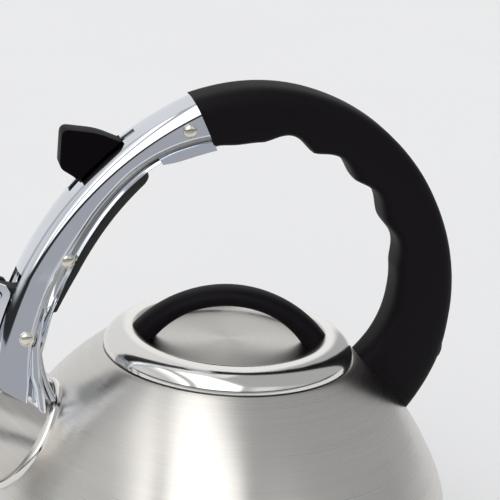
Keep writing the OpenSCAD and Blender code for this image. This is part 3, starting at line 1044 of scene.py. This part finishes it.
    def build_foot_strip(self, vessel: Vessel, spout: Spout) -> None:
        """The rolled rear edge that closes the foot against the dome."""
        spine = ((-85.3, 131.0), (-85.8, 124.0), (-85.2, 117.0), (-83.4, 109.5), (-79.6, 101.0))
        lengths = [0.0]
        for a, b in zip(spine, spine[1:]):
            lengths.append(lengths[-1] + math.dist(a, b))
        xs = [(s, p[0]) for s, p in zip(lengths, spine)]
        zs = [(s, p[1]) for s, p in zip(lengths, spine)]
        rows = []
        for s in spread(0, lengths[-1], 40):
            x, z = rise(xs, s), rise(zs, s)
            wide = self.half + self.flare(z) - 3.2
            depth = rise(((0, 0.6), (6, 2.0), (24, 3.0), (33, 3.2)), s)
            row = []
            for y, d in self.strip_section(wide):
                row.append(Vector((x + d * depth, y, z)))
            rows.append(row)
        strip = Skin().loft(rows, True, True).plain("rear_foot_strip")
        ring = [(0, -20), (spout.outer + 3.1, -20), (spout.outer + 3.1, 60), (0, 60)]
        tube = Skin().lathe(ring, 128).moved(spout.place()).plain("tube_cutter")
        carve(strip, vessel.solid(0.1), tube)
        fit(strip, Body.KETTLE, CHROME, "bracket_foot", crease=42)

    def build_bridge(self) -> None:
        """The thin bright strip that closes the channel below the grip's seam."""
        under = ((52.6, 137.6), (55, 135.1), (58.5, 132.9), (self.seam, 130.9))
        low = [self.at(a, rise(under, a)) for a in spread(52.6, self.seam, 20)]
        high = [self.at(a, rise(self.lip, a) + 0.4) for a in spread(self.seam, 52.6, 20)]
        reach = self.half - self.sheet - 0.5
        strip = Skin().slab([*low, *high], -reach, reach)
        fit(strip.plain("seam_strip"), Body.KETTLE, CHROME, "grip_bridge")

    def build_beads(self) -> None:
        """The rolled rear edge of each cheek, down to the spout."""
        spine = ((-83.2, 97.5), (-84.8, 107), (-86.3, 113), (-86.6, 119), (-86.7, 125))
        spine += ((-85.6, 131), (-84.5, 138), (-83.4, 143))
        girth = ((97.5, 2.2), (107, 2.3), (125, 2.3), (131, 1.6), (138, 1.0), (143, 0.5))
        xs = [(z, x) for x, z in spine]
        for side in (-1, 1):
            rows = []
            for z in spread(97.5, 143, 60):
                x, r = rise(xs, z), rise(girth, z)
                y = side * (self.half + self.flare(z) - r * 0.95)
                turns = (math.tau * k / 28 for k in range(28))
                rows.append([Vector((x + r * math.cos(t), y + r * math.sin(t), z)) for t in turns])
            bead = Skin().loft(rows, True, True).plain("cheek_bead")
            fit(bead, Body.KETTLE, CHROME, crease=50)

    def strip_section(self, wide: float) -> list[Point]:
        """A thin plate with both edges rolled forward."""
        front = [(y, 0.0) for y in spread(-wide, wide, 9)]
        right = [(wide + 0.9, -0.25), (wide + 1.5, -0.75), (wide + 1.9, -0.2), (wide + 1.6, 0.4)]
        right += [(wide + 0.6, 0.85)]
        back = [(y, 1.0) for y in spread(wide - 0.6, -wide + 0.6, 9)]
        left = [(-y, d) for y, d in reversed(right)]
        return [*front, *right, *back, *left]


@dataclass
class Grip:
    """The moulded black grip with four finger recesses under it."""

    centre: Point = (6.4, 144.75)
    half: float = 12.25
    corner: float = 0.52
    recesses: tuple[Point, ...] = ((79.8, 4.4), (60.9, 3.7), (42.0, 3.2), (21.6, 2.6))
    outer: tuple[Point, ...] = (
        (-40, 94.6), (-20, 94.2), (-3, 92.9), (21, 92.6), (45, 93.6), (62, 94.6), (87, 95.3),
        (108.9, 94.3),
    )
    inner: tuple[Point, ...] = (
        (-42, 54.8), (-26, 59.6), (-16, 62.7), (-8, 64.5), (0, 65.7), (9, 66.7), (28, 67.8),
        (48, 69.1), (68, 70.0), (88, 70.7), (98, 70.1), (106.6, 71.4),
    )

    def inner_radius(self, theta: float) -> float:
        """Radius of the underside, finger recesses and all."""
        deep = 0.0
        for middle, depth in self.recesses:
            off = abs(theta - middle) / 9.9
            if off < 1:
                deep = max(deep, depth * math.cos(off * math.pi / 2) ** 1.6)
        return rise(self.inner, theta) + deep

    def section(self, theta: float) -> list[Vector]:
        """One soft-cornered section of the grip.

        Args:
            theta: the station's angle about the grip's centre.

        Returns:
            The section's points.
        """
        ro, ri = rise(self.outer, theta), self.inner_radius(theta)
        lean = -2.3 * max(0.0, (theta - 92) / 16.9) ** 1.5
        foot = rise(((-42, 0.72), (-30, 0.8), (-14, 0.94), (0, 1.0)), theta)
        wide = self.half * foot if theta < 0 else self.half
        loop = []
        for k in range(52):
            u, v = blunt(math.tau * k / 52, self.corner)
            depth = (1 - u) / 2
            radius = ro + (ri - ro) * depth
            turn = math.radians(theta + lean * depth)
            x = self.centre[0] + radius * math.cos(turn)
            z = self.centre[1] + radius * math.sin(turn)
            loop.append(Vector((x, wide * v, z)))
        return loop

    def build(self, vessel: Vessel) -> None:
        """Makes the grip and dresses what fixes it."""
        sections = [self.section(t) for t in spread(108.9, -40, 190)]
        grip = Skin().loft(sections, True, True).plain("moulded_grip")
        carve(grip, vessel.solid(0.05))
        fit(grip, Body.KETTLE, GRIP_BLACK, "grip", crease=50)
        dress(TUBE_STEEL, "rear_lug")
        dress(NICKEL, "rear_screw")
        dress(GRIP_BLACK, "rear_plug")


@dataclass
class Trigger:
    """The sliding bar inside the channel and its thumb tab."""

    thick: float = 8.0
    tab_thick: float = 10.0
    guide: float = 139.6
    travel: float = 2.6

    def build(self, channel: Channel) -> None:
        """Makes the bar and the tab."""
        self.build_bar(channel)
        self.build_tab(channel)
        dress(NICKEL, "tab_pin", "trigger_pin")

    def build_bar(self, channel: Channel) -> None:
        """The curved nylon bar with its nose and its slot for the guide pin."""
        at, path = channel.at, channel.path
        under = ((18.4, 131.6), (22.4, 130.9), (26.5, 130.6), (31, 131.0), (39, 132.2), (48, 133.6))
        outline = [at(a, rise(under, a)) for a in spread(18.4, 47.8, 44)]
        outline += [at(48.6, 134.1), at(49.2, 135.0), at(49.5, 136.2)]
        outline += [at(49.8, 148.0), at(53.4, 149.6), at(53.4, 151.6)]
        outline += path(151.8, 53.0, 36.4, 26) + path(149.5, 35.6, 21.0, 30)
        outline += [at(20.2, 152), at(19.7, 160.5), at(18.5, 162), at(17.2, 161), at(17.4, 157)]
        outline += [at(17.8, 140), at(17.9, 136.0), at(18.0, 133.4)]
        bar = Skin().slab(outline, -self.thick / 2, self.thick / 2).plain("trigger_slide")
        low, high = 28.8 - self.travel, 28.8
        inner = path(self.guide - 1.9, low, high, 8)
        outer = path(self.guide + 1.9, high, low, 8)
        slot = [*inner, at(high + 0.75, self.guide), *outer, at(low - 0.75, self.guide)]
        hole = Skin().slab(slot, -8, 8).plain("guide_cutter")
        pin = Skin().lathe([(0, -9), (1.55, -9), (1.55, 9), (0, 9)], 32)
        turn = Matrix.Translation((-103, 0, 147.5)) @ Matrix.Rotation(math.pi / 2, 4, "X")
        carve(bar, hole, pin.moved(turn).plain("pin_cutter"))
        soften(bar, 0.7, 3)
        fit(bar, Body.TRIGGER, NYLON, "trigger_bar", crease=40)

    def build_tab(self, channel: Channel) -> None:
        """The thumb tab with soft corners, standing on its blade."""
        corners = ((-70.9, 198.3), (-78.7, 203.1), (-78.4, 219.9), (-63.0, 218.3), (-53.8, 214.8))
        edge = [corners[0]]
        for k, reach in enumerate((2.4, 3.6, 4.0)):
            edge += round_off(*corners[k : k + 3], reach)
        edge.append(corners[-1])
        outline = [*edge, *channel.path(channel.crown + 0.5, 49.6, 41.0, 10)]
        half = self.tab_thick / 2
        tab = Skin().slab(outline, -half, half).plain("thumb_tab_cap")
        soften(tab, 1.9, 5)
        blade = []
        for a in spread(40.2, 47.6, 12):
            blade.append([channel.point(a, r, y) for r, y in self.blade_corners()])
        extra = Skin().loft(blade, True, True).plain("tab_blade")
        fit(tab, Body.TRIGGER, TAB_BLACK, "thumb_tab", crease=40)
        fit(extra, Body.TRIGGER, NYLON, crease=40)

    def blade_corners(self) -> list[Point]:
        """The blade's section, from the bar up into the tab."""
        return [(148.5, -1.5), (148.5, 1.5), (157, 1.5), (157, -1.5)]


@dataclass
class Whistle:
    """The hinged whistle cap, its arm and its return spring."""

    radius: float = 22.0
    pivot: Point = (-90.8, 130.2)

    def build(self, spout: Spout) -> None:
        """Makes the cap and dresses the arm and the inner parts."""
        crown = self.radius
        outer = [(crown - 1.5, 0.9), (crown - 0.3, 0.9), (crown, 1.3), (crown, 10)]
        outer += arc((crown - 4, 10), 4, 8, 90, 12)
        brow = [(crown - 7, 14.5), (8, 14.8), (4, 15), (2.8, 14.9), (2.6, 14.6), (2.6, 13.6)]
        inner = [(crown - 4, 12.6), (crown - 2, 11.6), (crown - 1.5, 10)]
        cap = Skin().lathe([*outer, *brow, *inner], 160).moved(spout.place(spout.length))
        fit(cap.plain("whistle_hood"), Body.CAP, MIRROR, "whistle_cap", crease=30)
        dress(CHROME, "cap_arm", "arm_bridge")
        dress(NICKEL, "arm_rivet")
        dress(TUBE_STEEL, "whistle_plate")
        dress(SEAL, "cap_seal")


# ------------------------------------------------------ parts made by node trees


class Tree:
    """A geometry node tree with named inputs, built in the script."""

    def __init__(self, name: str, sizes: Mapping[str, float], finish: Finish) -> None:
        """Starts a tree.

        Args:
            name: the tree's name.
            sizes: input names and their values, in metres or plain numbers.
            finish: the finish that its last node gives.
        """
        self.tree = bpy.data.node_groups.new(name, "GeometryNodeTree")
        self.graph = Graph(self.tree)
        self.finish = finish
        self.sizes = dict(sizes)
        face = self.tree.interface
        for label in sizes:
            face.new_socket(label, in_out="INPUT", socket_type="NodeSocketFloat")
        face.new_socket("Geometry", in_out="OUTPUT", socket_type="NodeSocketGeometry")
        self.entry = self.graph.add("NodeGroupInput")

    def size(self, label: str) -> Term:
        """A named input as a term."""
        return Term(self.graph, self.entry.outputs[label])

    def join(self, *parts: Term) -> Term:
        """Joins several geometries."""
        node = self.graph.add("GeometryNodeJoinGeometry")
        for part in parts:
            self.tree.links.new(part.socket, node.inputs[0])
        return Term(self.graph, node.outputs[0])

    def pair(self, axis: str, reach: Term, part: Term) -> Term:
        """Puts a part at both ends of a line through the origin.

        Args:
            axis: the line's direction, X, Y or Z.
            reach: half its length.
            part: the geometry to repeat.

        Returns:
            The two instances.
        """
        g = self.graph
        sockets = {"Count": 2, "Start Location": g.vector(**{axis: 0.0 - reach})}
        sockets["Offset"] = g.vector(**{axis: reach})
        ends = g.term("GeometryNodeMeshLine", 0, {"mode": "END_POINTS"}, sockets)
        return g.term("GeometryNodeInstanceOnPoints", 0, {}, {"Points": ends, "Instance": part})

    def laid(self, part: Term, **places: Value) -> Term:
        """Moves, turns or scales a geometry."""
        return self.graph.term("GeometryNodeTransform", 0, {}, {"Geometry": part, **places})

    def piece(self, name: str, result: Term) -> bpy.types.Object:
        """Ends the tree, runs it once and returns its plain mesh.

        Args:
            name: the piece's name.
            result: the geometry that the tree makes.

        Returns:
            The object, with the modifier already removed.
        """
        whole = self.graph.term("GeometryNodeRealizeInstances", 0, {}, {0: result})
        sockets = {"Geometry": whole, "Material": self.finish.material()}
        coated = self.graph.term("GeometryNodeSetMaterial", 0, {}, sockets)
        self.graph.add("NodeGroupOutput", {}, {"Geometry": coated})
        made = bpy.data.objects.new(name, bpy.data.meshes.new(name))
        bpy.context.scene.collection.objects.link(made)
        run = made.modifiers.new("maker", "NODES")
        run.node_group = self.tree
        for item in self.tree.interface.items_tree:
            if item.in_out == "INPUT":
                run[item.identifier] = self.sizes[item.name]
        settle_modifiers(made)
        return made


@dataclass
class Fasteners:
    """Rivets, lid screws and the coil spring, which repeat one shape."""

    head: float = 3.2
    dome: float = 1.15

    def rivet(self, name: str, at: Point, half: float, shaft: float) -> bpy.types.Object:
        """A rivet with the same low domed head at both ends.

        Args:
            name: the piece's name.
            at: its axis in X and Z.
            half: half the distance between the heads' undersides.
            shaft: the shaft's radius.

        Returns:
            The rivet's mesh object.
        """
        sizes = {
            "Head radius": self.head * MM,
            "Dome height": self.dome * MM,
            "Half length": half * MM,
            "Shaft radius": shaft * MM,
            "X": at[0] * MM,
            "Z": at[1] * MM,
        }
        tree = Tree(name + "_tree", sizes, NICKEL)
        g = tree.graph
        head, dome = tree.size("Head radius"), tree.size("Dome height")
        ball = g.term("GeometryNodeMeshUVSphere", 0, {}, {"Segments": 40, "Rings": 24, "Radius": 1.0})
        ball = tree.laid(ball, Scale=g.vector(X=head * 0.9, Y=head * 0.9, Z=dome))
        disc = {"Vertices": 48, "Radius": head, "Depth": dome * 0.5}
        band = g.term("GeometryNodeMeshCylinder", 0, {}, disc)
        reach = tree.size("Half length")
        heads = tree.pair("Z", reach, tree.join(ball, band))
        shank = {"Vertices": 40, "Radius": tree.size("Shaft radius"), "Depth": reach * 2.0}
        rod = g.term("GeometryNodeMeshCylinder", 0, {}, shank)
        place = g.vector(X=tree.size("X"), Z=tree.size("Z"))
        turned = (math.pi / 2, 0.0, 0.0)
        return tree.piece(name, tree.laid(tree.join(heads, rod), Translation=place, Rotation=turned))

    def screws(self, lid: Lid) -> bpy.types.Object:
        """The two screws that hold the lid's handle, from below."""
        sizes = {"Reach": lid.foot_x * MM, "Head radius": 3.1 * MM, "Length": 7.6 * MM}
        tree = Tree("lid_screw_tree", sizes, NICKEL)
        g = tree.graph
        top, length = tree.size("Head radius"), tree.size("Length")
        cone = {"Vertices": 40, "Radius Top": top, "Radius Bottom": top * 0.8, "Depth": 2.0 * MM}
        head = g.term("GeometryNodeMeshCone", 0, {}, cone)
        shank = {"Vertices": 28, "Radius": 1.5 * MM, "Depth": length}
        rod = g.term("GeometryNodeMeshCylinder", 0, {}, shank)
        rod = tree.laid(rod, Translation=g.vector(Z=length * 0.5))
        both = tree.pair("X", tree.size("Reach"), tree.join(head, rod))
        place = (0.0, 0.0, (lid.seat - 0.6) * MM)
        turned = (0.0, 0.0, math.radians(lid.turn))
        return tree.piece("lid_screw_pair", tree.laid(both, Translation=place, Rotation=turned))

    def spring(self, pivot: Point) -> bpy.types.Object:
        """The return spring, a coil with a long and a short leg."""
        sizes = {"Coil radius": 4.2 * MM, "Wire radius": 0.55 * MM, "Rise": 5.6 * MM, "Turns": 4.0}
        tree = Tree("spring_tree", sizes, SPRING)
        g = tree.graph
        coil, up = tree.size("Coil radius"), tree.size("Rise")
        helix = {"Resolution": 32, "Rotations": tree.size("Turns"), "Height": up}
        helix |= {"Start Radius": coil, "End Radius": coil}
        spiral = g.term("GeometryNodeCurveSpiral", 0, {}, helix)
        drop = g.vector(Z=up * -0.5)
        spiral = tree.laid(spiral, Translation=drop, Rotation=(0.0, 0.0, math.pi / 2))
        legs = []
        for reach, side in ((4.2 * MM, -0.5), (-28.0 * MM, 0.5)):
            ends = {"Start": g.vector(Y=coil, Z=up * side)}
            ends["End"] = g.vector(X=reach, Y=coil, Z=up * side)
            legs.append(g.term("GeometryNodeCurvePrimitiveLine", 0, {}, ends))
        gauge = {"Resolution": 14, "Radius": tree.size("Wire radius")}
        ring = g.term("GeometryNodeCurvePrimitiveCircle", 0, {}, gauge)
        swept = {"Curve": tree.join(spiral, *legs), "Profile Curve": ring, "Fill Caps": True}
        wire = g.term("GeometryNodeCurveToMesh", 0, {}, swept)
        place = (pivot[0] * MM, 0.0, pivot[1] * MM)
        laid = tree.laid(wire, Translation=place, Rotation=(math.pi / 2, 0.0, 0.0))
        return tree.piece("coil_spring", laid)

    def build(self, channel: Channel, lid: Lid, whistle: Whistle) -> None:
        """Makes every fastener and the spring."""
        upper = channel.point(59.5, 144.5)
        lower = channel.point(28.8, 139.6)
        half = channel.half
        rows = (
            ("upper_rivet", (upper.x, upper.z), half, 1.6, "grip_rivet"),
            ("middle_rivet", (lower.x, lower.z), half - 0.9, 1.6, "guide_pin"),
            ("lower_rivet", whistle.pivot, half + 1.5, 2.0, "cap_pivot"),
        )
        for name, at, reach, shaft, node in rows:
            fit(self.rivet(name, at, reach, shaft), Body.KETTLE, NICKEL, node, crease=50)
        fit(self.screws(lid), Body.LID, NICKEL, "lid_screws", crease=50)
        fit(self.spring(whistle.pivot), Body.CAP, SPRING, "return_spring", crease=50)


# ----------------------------------------------------------------------- studio


@dataclass
class Studio:
    """A pale sweep under soft boxes, and the camera."""

    turn: float = 14.0
    lift: float = 18.263
    roll: float = 4.345
    away: float = 825.0
    lens: float = 136.4
    target: tuple[float, float, float] = (6.696, 0.0, 165.3)

    def camera(self) -> None:
        """Places the camera."""
        a, e, roll = (math.radians(v) for v in (self.turn, self.lift, self.roll))
        ahead = Vector((math.sin(a) * math.cos(e), math.cos(a) * math.cos(e), -math.sin(e)))
        right = Vector((math.cos(a), -math.sin(a), 0))
        up = Vector((math.sin(a) * math.sin(e), math.cos(a) * math.sin(e), math.cos(e)))
        x = math.cos(roll) * right + math.sin(roll) * up
        y = math.cos(roll) * up - math.sin(roll) * right
        data = bpy.data.cameras.new("camera")
        data.lens = self.lens
        data.sensor_width = 36.0
        data.dof.use_dof = False
        made = bpy.data.objects.new("camera", data)
        facing = Matrix((x, y, -ahead)).transposed().to_4x4()
        eye = (Vector(self.target) - ahead * self.away) * MM
        made.matrix_world = Matrix.Translation(eye) @ facing
        bpy.context.scene.collection.objects.link(made)
        bpy.context.scene.camera = made

    def floor(self) -> None:
        """The plain pale floor; to glossy rays, its part in front of the kettle shows a painted dark
        reflection of the room.
        """
        side = spread(-3000, 3000, 3)
        rows = [[Vector((x, y, -0.2)) for x in side] for y in side]
        piece = Skin().loft(rows, False, False).plain("floor", outward=False)
        paper = bpy.data.materials.new("pale_paper")
        paper.use_nodes = True
        g = Graph(paper.node_tree)
        place = g.term("ShaderNodeTexCoord", "Object")
        tone = g.blend(g.noise(place, 3.0, 2.0), (0.86, 0.865, 0.875), (0.885, 0.89, 0.895))
        paint = {"Base Color": tone, "Roughness": 0.9}
        shader = g.term("ShaderNodeBsdfPrincipled", 0, {}, paint)
        x, y, _ = g.axes(place)
        a = math.radians(self.turn)
        near = x * -math.sin(a) + y * -math.cos(a)
        # Painted reflection: glossy rays that reach the floor more than about 0.4 m in front see a
        # dim grey glow, near black past 1.9 m, in place of the paper; it stands in for a dark room.
        painted_room_tone = g.blend(near.step(1.9, 0.15), (0.42, 0.425, 0.45), (0.03, 0.032, 0.036))
        shade = g.term("ShaderNodeEmission", 0, {}, {"Color": painted_room_tone, "Strength": 1.0})
        mirrored = g.term("ShaderNodeLightPath", "Is Glossy Ray")
        amount = mirrored * near.step(0.40, 0.08)
        both = g.term("ShaderNodeMixShader", 0, {}, {0: amount, 1: shader, 2: shade})
        g.add("ShaderNodeOutputMaterial", {}, {"Surface": both})
        piece.data.materials.append(paper)

    def light(self) -> None:
        """Soft boxes in front, a bright sweep behind and dark gaps between."""
        world = bpy.data.worlds.new("studio")
        bpy.context.scene.world = world
        world.use_nodes = True
        g = Graph(world.node_tree)
        way = g.term("ShaderNodeTexCoord", "Generated")
        x, y, z = g.axes(way)
        a = math.radians(self.turn)
        near = x * -math.sin(a) + y * -math.cos(a)
        across = x * math.cos(a) + y * -math.sin(a)
        degree = 180 / math.pi
        climb = g.math("ARCSINE", z) * degree
        bearing = g.math("ARCTAN2", across, near) * degree
        behind = g.math("ABSOLUTE", bearing).step(112, 10)
        stops = [(-90, 0.74), (-62, 0.70), (-49, 0.60), (-43, 0.85), (-38.5, 1.05), (-36.5, 1.9)]
        stops += [(-31.5, 1.9), (-29.5, 0.45), (-24.6, 0.45), (-22.8, 1.9), (12.5, 1.9)]
        stops += [(15.2, 0.42), (21, 0.55), (27, 0.8), (42, 0.8), (50, 0.6), (90, 0.5)]
        brightest = 2.4
        ring = {"stops": [((b + 90) / 180, (v / brightest,) * 3) for b, v in stops]}
        aside = g.math("ARCSINE", across) * degree
        place = {"Fac": (aside + 90.0) / 180.0}
        around = g.term("ShaderNodeValToRGB", "Color", ring, place)
        level = g.term("ShaderNodeSeparateColor", 0, {}, {"Color": around}) * brightest
        arch = g.math("ARCTAN2", z, near) * degree
        side = g.math("MINIMUM", g.math("MAXIMUM", aside, -10.0), 14.0)
        over = (arch + side * 2.2).step(74, 6)
        above, front = climb.step(5, 2.5), 1.0 - behind
        lamp = above * (1.0 - over) * front
        left = 1.0 - bearing.step(0, 20)
        strip = g.math("ABSOLUTE", bearing).step(168, 3)
        back = behind * (0.44 + strip * 0.5 + left * (1.0 - strip) * 0.34)
        roof = above * over * front * 0.44
        glow = 0.03 + lamp * level + roof + back
        tint = g.blend(glow, (0.93, 0.96, 1.0), (1.0, 1.0, 1.0))
        sharp = g.term("ShaderNodeBackground", 0, {}, {"Color": tint, "Strength": glow})
        plain = (1.0, 0.995, 1.0, 1.0)
        soft = g.term("ShaderNodeBackground", 0, {}, {"Color": plain, "Strength": glow * 1.16})
        diffuse = g.term("ShaderNodeLightPath", "Is Diffuse Ray")
        lit = g.term("ShaderNodeMixShader", 0, {}, {0: diffuse, 1: sharp, 2: soft})
        backdrop = {"Color": (0.86, 0.87, 0.885, 1.0), "Strength": 1.0}
        seen = g.term("ShaderNodeBackground", 0, {}, backdrop)
        ray = g.term("ShaderNodeLightPath", "Is Camera Ray")
        both = g.term("ShaderNodeMixShader", 0, {}, {0: ray, 1: lit, 2: seen})
        g.add("ShaderNodeOutputWorld", {}, {"Surface": both})

    def build(self) -> None:
        """Sets the whole stage."""
        bpy.context.scene.view_settings.view_transform = "Standard"
        self.camera()
        self.floor()
        self.light()


def main() -> None:
    """Builds the kettle piece by piece, then the studio."""
    logging.basicConfig(level=logging.INFO, format="%(name)s: %(message)s")
    vessel, spout, lid = Vessel(), Spout(), Lid()
    channel, whistle = Channel(), Whistle()
    vessel.build(spout)
    spout.build(vessel)
    lid.build()
    channel.build(vessel, spout)
    Grip().build(vessel)
    Trigger().build(channel)
    whistle.build(spout)
    Fasteners().build(channel, lid, whistle)
    Studio().build()


if __name__ == "__main__":
    main()
